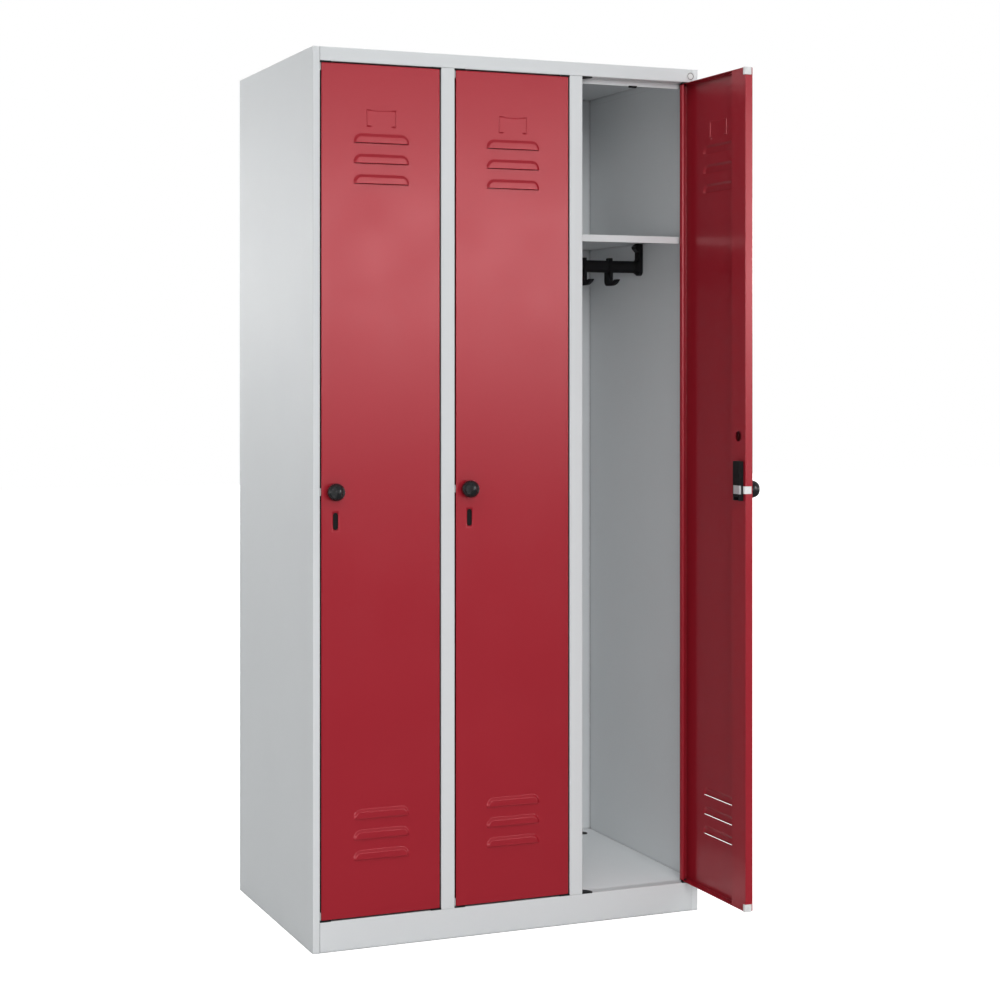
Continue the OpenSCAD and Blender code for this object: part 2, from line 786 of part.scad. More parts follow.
// Levelling foot screwed up to the end of its travel
module levelling_foot(sx, y) {
    pad_r = 17;
    pad_t = 5;
    nut_r = 9;
    nut_t = 6;
    lift = 1;
    color(steel)
    translate([sx * foot_x, y, lift]) {
        cylinder(h = pad_t, r = pad_r);
        cylinder(h = 40, r = foot_stud_r);
        translate([0, 0, pad_t]) cylinder(h = nut_t, r = nut_r, $fn = 6);
    }
}

side_panel();  // left_side
mirror([1, 0, 0]) side_panel();  // right_side
partition(-bay_w / 2);  // partition_left
partition(bay_w / 2);  // partition_right
post(-bay_w / 2);  // post_left
post(bay_w / 2);  // post_right
back_panel();
top_panel();
top_rail();
floor_panel();
plinth();
hat_shelf(0);  // hat_shelf_1
hat_shelf(1);  // hat_shelf_2
hat_shelf(2);  // hat_shelf_3
coat_rail(0);  // coat_rail_1
coat_rail(1);  // coat_rail_2
coat_rail(2);  // coat_rail_3
rail_brackets();
hook(0, -1);  // hook_1_left
hook(0, 0);  // hook_1_middle
hook(0, 1);  // hook_1_right
hook(1, -1);  // hook_2_left
hook(1, 0);  // hook_2_middle
hook(1, 1);  // hook_2_right
hook(2, -1);  // hook_3_left
hook(2, 0);  // hook_3_middle
hook(2, 1);  // hook_3_right
door(0);  // door_1
door(1);  // door_2
door(2);  // door_3
door_stiffener(0);  // door_stiffener_1
door_stiffener(1);  // door_stiffener_2
door_stiffener(2);  // door_stiffener_3
lock_case(0);  // lock_case_1
lock_case(1);  // lock_case_2
lock_case(2);  // lock_case_3
knob(0);  // knob_1
knob(1);  // knob_2
knob(2);  // knob_3
lock_spindle(0);  // lock_spindle_1
lock_spindle(1);  // lock_spindle_2
lock_spindle(2);  // lock_spindle_3
latch_bolt(0);  // latch_bolt_1
latch_bolt(1);  // latch_bolt_2
latch_bolt(2);  // latch_bolt_3
slot_insert(0);  // slot_insert_1
slot_insert(1);  // slot_insert_2
slot_insert(2);  // slot_insert_3
door_buffers(0);  // door_buffers_1
door_buffers(1);  // door_buffers_2
door_buffers(2);  // door_buffers_3
hinge_pins();
corner_plates();
stop_buffers();
floor_plugs();
blank_badge();
levelling_foot(-1, foot_front_y);  // levelling_foot_1
levelling_foot(1, foot_front_y);  // levelling_foot_2
levelling_foot(-1, foot_rear_y);  // levelling_foot_3
levelling_foot(1, foot_rear_y);  // levelling_foot_4
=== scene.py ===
import json
import math

import bmesh
import bpy
from mathutils import Matrix, Vector


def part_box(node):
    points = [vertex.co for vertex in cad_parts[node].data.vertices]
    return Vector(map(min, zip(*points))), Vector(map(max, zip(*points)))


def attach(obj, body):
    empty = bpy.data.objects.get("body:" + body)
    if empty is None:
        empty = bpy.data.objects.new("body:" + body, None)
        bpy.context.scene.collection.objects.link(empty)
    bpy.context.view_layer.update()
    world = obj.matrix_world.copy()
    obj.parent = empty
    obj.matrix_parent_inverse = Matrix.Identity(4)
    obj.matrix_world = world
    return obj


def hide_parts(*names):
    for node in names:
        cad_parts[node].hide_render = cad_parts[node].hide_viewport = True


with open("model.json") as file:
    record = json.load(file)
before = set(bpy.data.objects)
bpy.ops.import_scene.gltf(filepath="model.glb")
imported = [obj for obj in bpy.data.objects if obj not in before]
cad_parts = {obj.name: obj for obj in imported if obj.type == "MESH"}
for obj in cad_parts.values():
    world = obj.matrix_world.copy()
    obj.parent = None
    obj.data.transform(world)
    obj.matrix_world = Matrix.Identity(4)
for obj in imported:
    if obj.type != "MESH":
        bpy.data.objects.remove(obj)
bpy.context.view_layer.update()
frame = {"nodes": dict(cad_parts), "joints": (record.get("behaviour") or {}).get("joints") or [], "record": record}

# School locker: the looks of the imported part. Metres, in the part's own frame:
# origin on the floor at the centre of the carcass, +Z up, +X right seen from the front, doors face -Y.

MM = 0.001

# ---- Places taken from the frame ----

left_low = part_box("left_side")[0]
door_low, door_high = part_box("door_1")
spindle_low, spindle_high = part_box("lock_spindle_1")
slot_low, slot_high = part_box("slot_insert_1")
joints = {j["name"]: j for j in frame["joints"]}

FRONT_Y = left_low.y
SHEET = 1.0 * MM
FOLD_R = 2.0 * MM                              # outside radius of a door's folds
DOOR_T = 18.0 * MM
RETURN_W = 17.0 * MM                           # hinge-side return behind a door
DOOR_IDS = (1, 2, 3)

hinge_1 = Vector(joints["door_1_hinge"]["pos_m"])
EDGE_LOCK = door_low.x - hinge_1.x             # door edges in the door's own hinge frame
EDGE_HINGE = door_high.x - hinge_1.x
SKIN_Y = FRONT_Y - hinge_1.y
BACK_Y = SKIN_Y + DOOR_T
DOOR_MID = (EDGE_LOCK + EDGE_HINGE) / 2
LOCK_X = (spindle_low.x + spindle_high.x) / 2 - hinge_1.x
LOCK_Z = joints["knob_1_turn"]["pos_m"][2]
SLOT_X = (slot_low.x + slot_high.x) / 2 - hinge_1.x
SLOT_Z = (slot_low.z + slot_high.z) / 2

# ---- Pressed details of the doors ----

LOUVRE_W = 123 * MM
LOUVRE_H = 18.5 * MM
LOUVRE_OUT = 3.4 * MM
LOUVRE_WALL = 5.0 * MM                         # width of a hood's sloping rim
LOUVRE_CORNER = 17 * MM
LOUVRE_PITCH = 42 * MM
LOUVRE_GROUPS = (1657 * MM, 268 * MM)          # open edge of the top louvre in each group
LOUVRES_PER_GROUP = 3
CARD_Z = 1708 * MM
CARD_W = 64 * MM
CARD_H = 33 * MM
CARD_TAB = 10 * MM
CARD_LINE = 1.3 * MM
CARD_DEEP = 1.15 * MM
CARD_BOW = 2.4 * MM                            # how far the line between the brackets dips
SLOT_W = 11.3 * MM
SLOT_H = 35.5 * MM
BORE_W = 14 * MM
BORE_REACH = 11 * MM                           # half size of the square of faces round the lock bore
SLOT_REACH_W = 8 * MM
SLOT_REACH_H = SLOT_H / 2 + 4 * MM
PIN_BORE = 6.4 * MM                            # wide enough that its flat facets clear the 6 mm pin
PIN_FRAME = 5.9 * MM                           # half width of the square of faces round a pin bore
GUARD = 1.2 * MM                               # flat border that keeps shading inside a pressing


# ---- Small tools ----

def smooth_step(t):
    t = min(max(t, 0.0), 1.0)
    return t * t * (3 - 2 * t)


def steps(low, high, count):
    """count + 1 even values from low to high."""
    return [low + (high - low) * k / count for k in range(count + 1)]


def grid_lines(values, nearest=0.05 * MM):
    """Sorted values with near repeats dropped."""
    kept = []
    for v in sorted(values):
        if not kept or v - kept[-1] > nearest:
            kept.append(v)
    return kept


def link(name, mesh, material, body, smooth_angle=30):
    """New piece from a mesh, riding on a CAD body, smooth except across edges sharper than smooth_angle."""
    piece = bpy.data.objects.new(name, mesh)
    bpy.context.scene.collection.objects.link(piece)
    mesh.materials.append(material)
    for face in mesh.polygons:
        face.use_smooth = True
    mesh.set_sharp_from_angle(angle=math.radians(smooth_angle))
    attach(piece, body)
    return piece


def door_turn(door):
    """Turns a closed door's hinge frame into its place at rest. The hinge's low limit is the closed door."""
    joint = joints[f"door_{door}_hinge"]
    opened = -math.radians(joint["range_deg"][0])
    hinge = Vector(joint["pos_m"])
    return Matrix.Translation((hinge.x, hinge.y, 0)) @ Matrix.Rotation(opened, 4, "Z")


# ---- Materials ----

class Nodes:
    """Short way to build a node material."""

    def __init__(self, name):
        self.material = bpy.data.materials.new(name)
        self.material.use_nodes = True
        self.tree = self.material.node_tree
        self.shader = self.tree.nodes["Principled BSDF"]
        self.place = self.tree.nodes.new("ShaderNodeTexCoord").outputs["Object"]

    def add(self, kind, **settings):
        node = self.tree.nodes.new(kind)
        for key, value in settings.items():
            setattr(node, key, value)
        return node

    def join(self, source, target):
        self.tree.links.new(source, target)

    def noise(self, scale, detail=2.0, rough=0.5, stretch=(1, 1, 1)):
        mapping = self.add("ShaderNodeMapping")
        mapping.inputs["Scale"].default_value = stretch
        self.join(self.place, mapping.inputs["Vector"])
        node = self.add("ShaderNodeTexNoise")
        node.inputs["Scale"].default_value = scale
        node.inputs["Detail"].default_value = detail
        node.inputs["Roughness"].default_value = rough
        self.join(mapping.outputs["Vector"], node.inputs["Vector"])
        return node.outputs["Fac"]

    def spread(self, source, low, high):
        """Maps a noise value to the range low..high."""
        node = self.add("ShaderNodeMapRange")
        node.inputs["From Min"].default_value = 0.3
        node.inputs["From Max"].default_value = 0.7
        node.inputs["To Min"].default_value = low
        node.inputs["To Max"].default_value = high
        self.join(source, node.inputs["Value"])
        return node.outputs["Result"]

    def blend(self, factor, first, second):
        """Colour between first and second by factor, each a colour or a socket."""
        node = self.add("ShaderNodeMix", data_type="RGBA")
        self.join(factor, node.inputs["Factor"])
        for key, value in (("A", first), ("B", second)):
            socket = [s for s in node.inputs if s.name == key and s.type == "RGBA"][0]
            if isinstance(value, bpy.types.NodeSocket):
                self.join(value, socket)
            else:
                socket.default_value = (*value, 1.0)
        return [s for s in node.outputs if s.type == "RGBA"][0]

    def edge_mask(self, radius):
        """0 on flat faces and up to 1 along sharp edges."""
        bevel = self.add("ShaderNodeBevel", samples=4)
        bevel.inputs["Radius"].default_value = radius
        geometry = self.add("ShaderNodeNewGeometry")
        dot = self.add("ShaderNodeVectorMath", operation="DOT_PRODUCT")
        self.join(bevel.outputs["Normal"], dot.inputs[0])
        self.join(geometry.outputs["Normal"], dot.inputs[1])
        node = self.add("ShaderNodeMapRange")
        node.inputs["From Min"].default_value = 0.99
        node.inputs["From Max"].default_value = 0.75
        node.inputs["To Min"].default_value = 0.0
        node.inputs["To Max"].default_value = 1.0
        self.join(dot.outputs["Value"], node.inputs["Value"])
        return node.outputs["Result"]

    def gap_shade_mask(self, reach):
        """1 on open faces and down to 0 deep in a narrow gap, from ambient occlusion: a mask for painted shade."""
        near = self.add("ShaderNodeAmbientOcclusion", samples=4)
        near.inputs["Distance"].default_value = reach
        node = self.add("ShaderNodeMapRange")
        node.inputs["From Min"].default_value = 0.12
        node.inputs["From Max"].default_value = 0.48
        node.inputs["To Min"].default_value = 0.0
        node.inputs["To Max"].default_value = 1.0
        self.join(near.outputs["AO"], node.inputs["Value"])
        return node.outputs["Result"]

    def bump(self, layers):
        """layers: (height socket, distance in metres, strength), coarse to fine."""
        normal = None
        for height, distance, strength in layers:
            node = self.add("ShaderNodeBump")
            node.inputs["Distance"].default_value = distance
            node.inputs["Strength"].default_value = strength
            self.join(height, node.inputs["Height"])
            if normal is not None:
                self.join(normal, node.inputs["Normal"])
            normal = node.outputs["Normal"]
        self.join(normal, self.shader.inputs["Normal"])


def scaled(colour, factor):
    return tuple(min(c * factor, 1.0) for c in colour)


def powder_coat(name, colour, roughness, edge_highlight, shine=0.5, shine_tint=(1, 1, 1)):
    """Powder coat: fine orange peel, faint clouding, a painted highlight along sharp edges and painted shade in
    narrow gaps.
    """
    n = Nodes(name)
    cloud = n.spread(n.noise(5.0, detail=3.0), 0.0, 1.0)
    base = n.blend(cloud, scaled(colour, 0.985), scaled(colour, 1.015))
    fleck = n.spread(n.noise(1400.0, detail=1.0), 0.0, 1.0)
    base = n.blend(fleck, base, n.blend(fleck, base, scaled(colour, 1.05)))
    # painted highlight: the coat turns paler along sharp edges, where light catches them
    base = n.blend(n.edge_mask(1.2 * MM), base, scaled(colour, edge_highlight))
    # painted shade: the coat turns nearly black deep in narrow gaps, creases and recesses, where shade falls
    base = n.blend(n.gap_shade_mask(14 * MM), scaled(colour, 0.08), base)
    n.join(base, n.shader.inputs["Base Color"])
    rough = n.spread(n.noise(9.0, detail=4.0), roughness - 0.02, roughness + 0.02)
    n.join(rough, n.shader.inputs["Roughness"])
    n.shader.inputs["IOR"].default_value = 1.5
    n.shader.inputs["Specular IOR Level"].default_value = shine
    n.shader.inputs["Specular Tint"].default_value = (*shine_tint, 1)
    n.bump([(n.noise(260.0, detail=1.0), 0.02 * MM, 0.35), (n.noise(1500.0, detail=2.0), 0.006 * MM, 0.5)])
    return n.material


def moulded_plastic(name, colour, roughness, shine, grain=0.02 * MM):
    """Moulded plastic: fine spark-eroded grain, slight sheen change and paler rubbed edges."""
    n = Nodes(name)
    cloud = n.spread(n.noise(60.0, detail=3.0), 0.0, 1.0)
    base = n.blend(cloud, scaled(colour, 0.9), scaled(colour, 1.12))
    base = n.blend(n.edge_mask(0.6 * MM), base, tuple(min(c * 1.25 + 0.006, 1) for c in colour))
    n.join(base, n.shader.inputs["Base Color"])
    rough = n.spread(n.noise(120.0, detail=4.0), roughness - 0.05, roughness + 0.05)
    n.join(rough, n.shader.inputs["Roughness"])
    n.shader.inputs["Specular IOR Level"].default_value = shine
    n.bump([(n.noise(1800.0, detail=3.0), grain, 0.5)])
    return n.material


def ringed_disc(name, colour, centre, ring_r):
    """Moulded badge: a plain pale disc with a thin dark ring near its rim. It lies upright, facing -Y."""
    n = Nodes(name)
    away = n.add("ShaderNodeVectorMath", operation="SUBTRACT")
    n.join(n.place, away.inputs[0])
    away.inputs[1].default_value = centre
    flat = n.add("ShaderNodeVectorMath", operation="MULTIPLY")
    n.join(away.outputs["Vector"], flat.inputs[0])
    flat.inputs[1].default_value = (1, 0, 1)
    length = n.add("ShaderNodeVectorMath", operation="LENGTH")
    n.join(flat.outputs["Vector"], length.inputs[0])
    ring = n.add("ShaderNodeMath", operation="COMPARE")
    n.join(length.outputs["Value"], ring.inputs[0])
    ring.inputs[1].default_value = ring_r
    ring.inputs[2].default_value = 0.6 * MM
    cloud = n.spread(n.noise(60.0, detail=3.0), 0.0, 1.0)
    base = n.blend(cloud, scaled(colour, 0.94), scaled(colour, 1.03))
    n.join(n.blend(ring.outputs["Value"], base, BLACK), n.shader.inputs["Base Color"])
    n.join(n.spread(n.noise(120.0, detail=4.0), 0.4, 0.5), n.shader.inputs["Roughness"])
    n.shader.inputs["Specular IOR Level"].default_value = 0.2
    n.bump([(n.noise(1800.0, detail=3.0), 0.01 * MM, 0.5)])
    return n.material


def zinc_plate(name, colour):
    """Zinc-plated steel: faint brushed streaks, spangle and dull patches."""
    n = Nodes(name)
    streak = n.spread(n.noise(500.0, detail=3.0, stretch=(1, 1, 0.06)), 0.0, 1.0)
    patch = n.spread(n.noise(90.0, detail=4.0), 0.0, 1.0)
    base = n.blend(streak, scaled(colour, 0.88), scaled(colour, 1.06))
    base = n.blend(patch, base, scaled(colour, 0.95))
    n.join(base, n.shader.inputs["Base Color"])
    n.shader.inputs["Metallic"].default_value = 0.4
    n.join(n.spread(n.noise(140.0, detail=4.0), 0.28, 0.42), n.shader.inputs["Roughness"])
    n.bump([(streak, 0.01 * MM, 0.4)])
    return n.material


FRAME_GREY = (0.660, 0.684, 0.697)
DOOR_RED = (0.326, 0.0125, 0.0235)
CHARCOAL = (0.012, 0.013, 0.014)
BLACK = (0.011, 0.011, 0.012)
WHITE = (0.74, 0.75, 0.75)
ZINC = (0.62, 0.63, 0.65)
BADGE_RING = 0.78                              # radius of the badge's ring, as a share of the badge's own

paint = {
    "frame_paint": powder_coat("frame_paint", FRAME_GREY, 0.46, 1.04),
    "door_paint": powder_coat("door_paint", DOOR_RED, 0.23, 1.15, 0.9, (1, 0.5, 0.52)),
    "knob_plastic": moulded_plastic("knob_plastic", CHARCOAL, 0.26, 0.3),
    "black_plastic": moulded_plastic("black_plastic", BLACK, 0.5, 0.12),
    "black_rubber": moulded_plastic("black_rubber", scaled(BLACK, 1.1), 0.7, 0.12),
    "white_plastic": moulded_plastic("white_plastic", WHITE, 0.45, 0.2),
    "zinc_steel": zinc_plate("zinc_steel", ZINC),
}


# ---- Carried-over CAD nodes ----

def dress_cad_nodes():
    """Gives every CAD node its slot's material, and moulded and machined pieces a softened edge."""
    slot_of = {s["node"]: s["material_slot"] for s in frame["record"]["subparts"]}
    softened = {"knob_plastic": 0.6, "black_plastic": 0.5, "black_rubber": 0.7, "white_plastic": 0.8,
                "zinc_steel": 0.4}
    for name, node in frame["nodes"].items():
        slot_name = slot_of[name]
        node.data.materials.clear()
        node.data.materials.append(paint[slot_name])
        if slot_name in softened:
            bevel = node.modifiers.new("soft_edges", "BEVEL")
            bevel.width = softened[slot_name] * MM
            bevel.segments = 3
            bevel.limit_method = "ANGLE"
            bevel.angle_limit = math.radians(40)
            bevel.harden_normals = True
    low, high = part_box("blank_badge")
    badge = frame["nodes"]["blank_badge"]
    badge.data.materials.clear()
    ring_r = (high.x - low.x) / 2 * BADGE_RING
    badge.data.materials.append(ringed_disc("badge_plastic", WHITE, (low + high) / 2, ring_r))


# ---- Doors ----

def louvre_rise(x, z):
    """Height of a louvre hood above the skin at x from its middle and z above its open edge."""
    x = abs(x)
    corner_x = LOUVRE_W / 2 - LOUVRE_CORNER
    corner_z = LOUVRE_H - LOUVRE_CORNER
    if x <= corner_x:
        inside = LOUVRE_H - z
    elif z >= corner_z:
        inside = LOUVRE_CORNER - math.hypot(x - corner_x, z - corner_z)
    else:
        inside = LOUVRE_W / 2 - x
    slope = min(max(inside / LOUVRE_WALL, 0.0), 1.0)
    return LOUVRE_OUT * (0.75 * slope + 0.25 * smooth_step(slope))


def card_groove(x, z):
    """Depth of the pressed card frame at x, z from its centre: two brackets and a faint bowed line."""
    def line(distance):
        return smooth_step(1 - abs(distance) / CARD_LINE)

    half_w, half_h = CARD_W / 2, CARD_H / 2
    deep = 0.0
    if abs(z) <= half_h + CARD_LINE:
        deep = max(deep, line(abs(x) - half_w) * smooth_step((half_h + CARD_LINE - abs(z)) / CARD_LINE))
    if abs(x) <= half_w + CARD_LINE:
        tab = smooth_step((abs(x) - (half_w - CARD_TAB)) / (2 * MM))
        tab *= smooth_step((half_w + CARD_LINE - abs(x)) / CARD_LINE)
        deep = max(deep, tab * line(abs(z) - half_h))
    if abs(x) < half_w - CARD_TAB / 2:
        bow = half_h - CARD_BOW * math.cos(math.pi / 2 * x / half_w) + 0.6 * MM
        deep = max(deep, 0.22 * line(z - bow))
    return CARD_DEEP * deep


def guarded(low, high, count):
    """Even values from low to high, with a guard line just outside each end."""
    return [low - GUARD] + steps(low, high, count) + [high + GUARD]


def pan_columns():
    half = LOUVRE_W / 2
    card = CARD_W / 2
    right = guarded(half - LOUVRE_CORNER - LOUVRE_WALL / 2, half, 20)
    right += guarded(card - CARD_LINE, card + CARD_LINE, 6)
    right += steps(card - CARD_TAB - 1 * MM, card - CARD_LINE - GUARD, 6)
    right += steps(0, card - CARD_TAB - 1 * MM - GUARD, 5)
    columns = [DOOR_MID + s * x for x in right for s in (-1, 1)]
    columns += [EDGE_LOCK, EDGE_LOCK + 5 * MM, EDGE_HINGE - RETURN_W, EDGE_HINGE]
    columns += steps(LOCK_X - BORE_REACH, LOCK_X + BORE_REACH, 8)
    columns += steps(SLOT_X - SLOT_REACH_W, SLOT_X + SLOT_REACH_W, 4)
    columns += steps(-PIN_FRAME, PIN_FRAME, 4)
    return grid_lines(columns)


def pan_rows(door_bottom, door_top):
    rows = [door_bottom, door_bottom + 4 * MM, door_top - 4 * MM, door_top]
    for group in LOUVRE_GROUPS:
        for k in range(LOUVRES_PER_GROUP):
            rows += guarded(group - k * LOUVRE_PITCH, group - k * LOUVRE_PITCH + LOUVRE_H, 17)
    low, high = CARD_Z - CARD_H / 2, CARD_Z + CARD_H / 2
    rows += guarded(low - CARD_LINE, low + CARD_LINE, 6)
    rows += guarded(high - CARD_BOW - CARD_LINE, high + CARD_LINE, 14)
    rows += steps(low + CARD_LINE + GUARD, high - CARD_BOW - CARD_LINE - GUARD, 4)
    rows += steps(LOCK_Z - BORE_REACH, LOCK_Z + BORE_REACH, 8)
    rows += steps(SLOT_Z - SLOT_REACH_H, SLOT_Z + SLOT_REACH_H, 10)
    return grid_lines(rows)


def skin_point(x, z, below_edge=False):
    """Point of the door's outer skin at x, z, with its pressed details. below_edge gives the flat side of an
    open louvre edge."""
    out = 0.0
    for group in LOUVRE_GROUPS:
        for k in range(LOUVRES_PER_GROUP):
            up = z - (group - k * LOUVRE_PITCH)
            if -0.01 * MM <= up <= LOUVRE_H and abs(x - DOOR_MID) < LOUVRE_W / 2 and not below_edge:
                out = louvre_rise(x - DOOR_MID, up)
    if abs(z - CARD_Z) < CARD_H and abs(x - DOOR_MID) < CARD_W:
        out -= card_groove(x - DOOR_MID, z - CARD_Z)
    return Vector((x, SKIN_Y - out, z))


def is_open_edge(z):
    """True on the row where a louvre is open."""
    return any(abs(z - (group - k * LOUVRE_PITCH)) < 0.01 * MM
               for group in LOUVRE_GROUPS for k in range(LOUVRES_PER_GROUP))


def add_sheet(bm, first, second, point):
    """Grid of faces over two lists of values. point gives each corner's place."""
    corners = [[bm.verts.new(point(u, v)) for v in second] for u in first]
    for i in range(len(first) - 1):
        for j in range(len(second) - 1):
            bm.faces.new((corners[i][j], corners[i + 1][j], corners[i + 1][j + 1], corners[i][j + 1]))
    return corners


def cut_oval(bm, centre, across, along, width, height, reach_w, reach_h):
    """Cuts a round-ended opening in a flat sheet and joins its rim to the grid lines round it."""
    normal = across.cross(along)

    def flat(co):
        offset = co - centre
        return offset.dot(across), offset.dot(along)

    def within(face):
        offset = face.calc_center_median() - centre
        return (abs(offset.dot(across)) < reach_w and abs(offset.dot(along)) < reach_h
                and abs(offset.dot(normal)) < 0.1 * MM)

    inside = {f for f in bm.faces if within(f)}
    border = {e for f in inside for e in f.edges if any(n not in inside for n in e.link_faces)}
    rim = {v for e in border for v in e.verts}
    outer = sorted(rim, key=lambda v: math.atan2(flat(v.co)[1], flat(v.co)[0]))
    bmesh.ops.delete(bm, geom=list(inside), context="FACES_ONLY")
    straight = (height - width) / 2
    inner = []
    for v in outer:
        a, b = flat(v.co)
        near = min(max(b, -straight), straight)
        reach = math.hypot(a, b - near)
        place = centre + across * (a / reach * width / 2) + along * (near + (b - near) / reach * width / 2)
        inner.append(bm.verts.new(place))
    for k in range(len(outer)):
        m = (k + 1) % len(outer)
        bm.faces.new((outer[k], outer[m], inner[m], inner[k]))


def pan_sheet(bottom, top):
    """Outer surface of a door pan in its hinge frame: skin, four flanges and the hinge-side return."""
    columns, rows = pan_columns(), pan_rows(bottom, top)
    flange = [SKIN_Y] + steps(-PIN_FRAME, PIN_FRAME, 4) + [BACK_Y]
    return_x = [EDGE_HINGE - RETURN_W, EDGE_HINGE]
    bm = bmesh.new()
    start = 0
    # the skin is laid in bands that end at each open louvre edge, so that the edge stays open
    for j, z in enumerate(rows):
        if is_open_edge(z) or j == len(rows) - 1:
            band = rows[start:j + 1]
            add_sheet(bm, columns, band, lambda x, up, end=z: skin_point(x, up, up == end))
            start = j
    for x in (EDGE_LOCK, EDGE_HINGE):
        add_sheet(bm, flange, rows, lambda y, z, x=x: Vector((x, y, z)))
    for z in (bottom, top):
        add_sheet(bm, columns, flange, lambda x, y, z=z: Vector((x, y, z)))
    add_sheet(bm, return_x, rows, lambda x, z: Vector((x, BACK_Y, z)))
    bmesh.ops.remove_doubles(bm, verts=bm.verts, dist=0.02 * MM)
    right, back, up = Vector((1, 0, 0)), Vector((0, 1, 0)), Vector((0, 0, 1))
    cut_oval(bm, Vector((LOCK_X, SKIN_Y, LOCK_Z)), right, up, BORE_W, BORE_W, BORE_REACH, BORE_REACH)
    cut_oval(bm, Vector((SLOT_X, SKIN_Y, SLOT_Z)), right, up, SLOT_W, SLOT_H, SLOT_REACH_W, SLOT_REACH_H)
    for z in (bottom, top):
        cut_oval(bm, Vector((0, 0, z)), right, back, PIN_BORE, PIN_BORE, PIN_FRAME, PIN_FRAME)
    bmesh.ops.recalc_face_normals(bm, faces=bm.faces)
    front = min(bm.faces, key=lambda f: f.calc_center_median().y)
    if front.normal.y > 0:
        bmesh.ops.reverse_faces(bm, faces=bm.faces)
    return bm


def build_pan(door):
    """Door pan in 1 mm sheet, with rounded folds, pressed louvres and card frame, and its cut-outs."""
    low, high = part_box(f"door_{door}")
    bm = pan_sheet(low.z, high.z)
    weight = bm.edges.layers.float.new("bevel_weight_edge")
    for edge in bm.edges:
        if len(edge.link_faces) == 2 and edge.calc_face_angle() > math.radians(80):
            edge[weight] = 1.0
    bm.transform(door_turn(door))
    mesh = bpy.data.meshes.new(f"door_pan_{door}")
    bm.to_mesh(mesh)
    bm.free()
    pan = link(f"door_pan_{door}", mesh, paint["door_paint"], f"door_body_{door}", 50)
    folds = pan.modifiers.new("folds", "BEVEL")
    folds.limit_method = "WEIGHT"
    folds.width = FOLD_R
    folds.segments = 3
    folds.harden_normals = True
    steel = pan.modifiers.new("steel", "SOLIDIFY")
    steel.thickness = SHEET
    steel.offset = -1
    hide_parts(f"door_{door}")
    return pan


# ---- Stage ----

CAMERA_AT = Vector((-1.7174, -3.8125, 1.1985))
CAMERA_TURN = -20.228
LENS = 66.88
SHIFT_X = 0.1662
SHIFT_Y = -0.1343
SKY = 1.21                                     # strengths of the lights
STRIP = 10.0
SUN = 1.10
SUN_HEIGHT = 12                                # degrees above level
SUN_TURN = -11                                 # degrees, so that it comes from the left
SUN_SOFTNESS = 28                              # degrees across
BAY_FILL = 13
FLOOR_FILL = 28
KNOB_GLINT = 30
FLOOR_GLOW = 0.85                              # seen by the camera only
FLOOR_Z = -0.2 * MM                            # just below the plinth, so no faces share a plane
FLOOR_HALF = 14.0
# Brightness of the soft light from the surround, and of the strip seen in reflections: (height, level),
# where height runs from -1 straight down to 1 straight up.
SKY_BANDS = ((-1.0, 0.0), (0.25, 0.0), (0.45, 1.0), (1.0, 1.0))
STRIP_BANDS = ((-1.0, 0.02), (-0.10, 0.02), (0.016, 0.04), (0.046, 1.0), (0.074, 1.0), (0.1, 0.05),
               (0.4, 0.04), (1.0, 0.03))


def place_camera():
    """Level camera with a shifted lens. The shift counts only while the camera stands at its own place."""
    data = bpy.data.cameras.new("camera")
    data.sensor_width = 36
    data.lens = LENS
    camera = bpy.data.objects.new("camera", data)
    bpy.context.scene.collection.objects.link(camera)
    camera.location = CAMERA_AT
    camera.rotation_euler = (math.radians(90), 0, math.radians(CAMERA_TURN))
    for path, amount in (("shift_x", SHIFT_X), ("shift_y", SHIFT_Y)):
        driver = data.driver_add(path).driver
        driver.type = "SCRIPTED"
        place = driver.variables.new()
        place.name = "x"
        place.type = "SINGLE_PROP"
        place.targets[0].id = camera
        place.targets[0].data_path = "location[0]"
        driver.expression = f"{amount} if abs(x - {CAMERA_AT.x:.4f}) < 0.001 else 0.0"
    bpy.context.scene.camera = camera


def sky(tree, coord, bands, strength):
    """Background whose brightness depends on height only. bands: (height from -1 to 1, level)."""
    split = tree.nodes.new("ShaderNodeSeparateXYZ")
    tree.links.new(coord.outputs["Generated"], split.inputs["Vector"])
    spread = tree.nodes.new("ShaderNodeMapRange")
    spread.inputs["From Min"].default_value = -1
    spread.inputs["From Max"].default_value = 1
    tree.links.new(split.outputs["Z"], spread.inputs["Value"])
    ramp = tree.nodes.new("ShaderNodeValToRGB")
    ramp.color_ramp.elements[0].position = (bands[0][0] + 1) / 2
    ramp.color_ramp.elements[1].position = (bands[-1][0] + 1) / 2
    for height, _ in bands[1:-1]:
        ramp.color_ramp.elements.new((height + 1) / 2)
    for element, (_, level) in zip(ramp.color_ramp.elements, bands):
        element.color = (level, level, level, 1)
    tree.links.new(spread.outputs["Result"], ramp.inputs["Fac"])
    background = tree.nodes.new("ShaderNodeBackground")
    background.inputs["Strength"].default_value = strength
    tree.links.new(ramp.outputs["Color"], background.inputs["Color"])
    return background


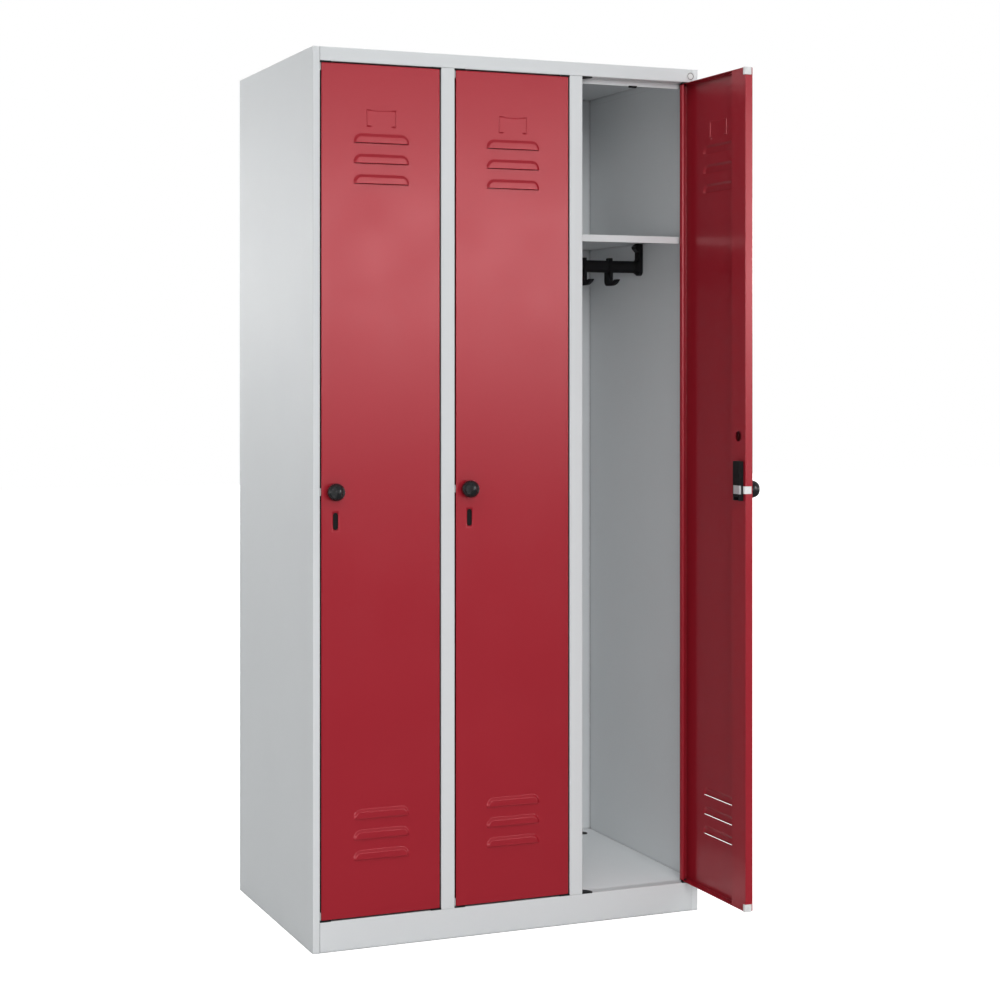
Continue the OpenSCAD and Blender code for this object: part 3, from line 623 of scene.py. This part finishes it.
def build_world():
    """Studio surround: soft light from above, a bright strip at eye level in reflections, white behind."""
    world = bpy.data.worlds.new("studio")
    world.use_nodes = True
    bpy.context.scene.world = world
    tree = world.node_tree
    tree.nodes.clear()
    coord = tree.nodes.new("ShaderNodeTexCoord")
    around = sky(tree, coord, SKY_BANDS, SKY)
    strip = sky(tree, coord, STRIP_BANDS, STRIP)
    seen = tree.nodes.new("ShaderNodeBackground")
    seen.inputs["Color"].default_value = (1, 1, 1, 1)
    path = tree.nodes.new("ShaderNodeLightPath")
    shader = around
    for ray, layer in (("Is Glossy Ray", strip), ("Is Camera Ray", seen)):
        mix = tree.nodes.new("ShaderNodeMixShader")
        tree.links.new(path.outputs[ray], mix.inputs[0])
        tree.links.new(shader.outputs[0], mix.inputs[1])
        tree.links.new(layer.outputs[0], mix.inputs[2])
        shader = mix
    out = tree.nodes.new("ShaderNodeOutputWorld")
    tree.links.new(shader.outputs[0], out.inputs["Surface"])


def add_softbox(name, place, target, size, power, lit_nodes):
    """Square soft light that reaches only the named CAD nodes."""
    data = bpy.data.lights.new(name, "AREA")
    data.size = size
    data.energy = power
    lamp = bpy.data.objects.new(name, data)
    bpy.context.scene.collection.objects.link(lamp)
    lamp.location = place
    lamp.rotation_euler = (Vector(target) - Vector(place)).to_track_quat("-Z", "Y").to_euler()
    lamp.visible_camera = False
    receivers = bpy.data.collections.new(f"{name}_reaches")
    for node in lit_nodes:
        receivers.objects.link(frame["nodes"][node])
    lamp.light_linking.receiver_collection = receivers


def add_broad_light():
    """Very soft light from far away in front, a little to the left."""
    data = bpy.data.lights.new("broad", "SUN")
    data.energy = SUN
    data.angle = math.radians(SUN_SOFTNESS)
    lamp = bpy.data.objects.new("broad", data)
    bpy.context.scene.collection.objects.link(lamp)
    lamp.rotation_euler = (math.radians(90 - SUN_HEIGHT), 0, math.radians(SUN_TURN))
    lamp.visible_camera = False
    lamp.visible_glossy = False


def build_floor():
    """Plain pale floor that runs out to the white surround."""
    bm = bmesh.new()
    ring = [(x * FLOOR_HALF, y * FLOOR_HALF) for x, y in ((-1, -1), (1, -1), (1, 1), (-1, 1))]
    bm.faces.new([bm.verts.new((x, y, FLOOR_Z)) for x, y in ring])
    mesh = bpy.data.meshes.new("floor")
    bm.to_mesh(mesh)
    bm.free()
    n = Nodes("floor")
    grain = n.spread(n.noise(30.0, detail=3.0), 0.0, 1.0)
    n.join(n.blend(grain, (0.56, 0.56, 0.56), (0.60, 0.60, 0.60)), n.shader.inputs["Base Color"])
    n.shader.inputs["Roughness"].default_value = 0.9
    n.shader.inputs["Specular IOR Level"].default_value = 0.0
    n.shader.inputs["Emission Color"].default_value = (1, 1, 1, 1)
    glow = n.add("ShaderNodeMath", operation="MULTIPLY")
    n.join(n.add("ShaderNodeLightPath").outputs["Is Camera Ray"], glow.inputs[0])
    glow.inputs[1].default_value = FLOOR_GLOW
    n.join(glow.outputs["Value"], n.shader.inputs["Emission Strength"])
    mesh.materials.append(n.material)
    floor = bpy.data.objects.new("floor", mesh)
    floor.visible_glossy = False
    bpy.context.scene.collection.objects.link(floor)


def build_stage():
    place_camera()
    build_world()
    build_floor()
    add_broad_light()
    add_softbox("bay_fill", (-1.2, -2.6, 1.1), (0.35, 0, 0.9), 1.2, BAY_FILL, ("right_side", "top_panel"))
    add_softbox("floor_fill", (-0.6, -2.2, 1.8), (0.3, 0, 0), 1.0, FLOOR_FILL, ("floor_panel",))
    knobs = [f"knob_{door}" for door in DOOR_IDS]
    add_softbox("knob_glint", (1.6, -2.6, 1.9), (-0.2, -0.25, LOCK_Z), 0.8, KNOB_GLINT, knobs)
    scene = bpy.context.scene
    scene.view_settings.view_transform = "Standard"
    scene.view_settings.look = "None"


dress_cad_nodes()
for door in DOOR_IDS:
    build_pan(door)
build_stage()
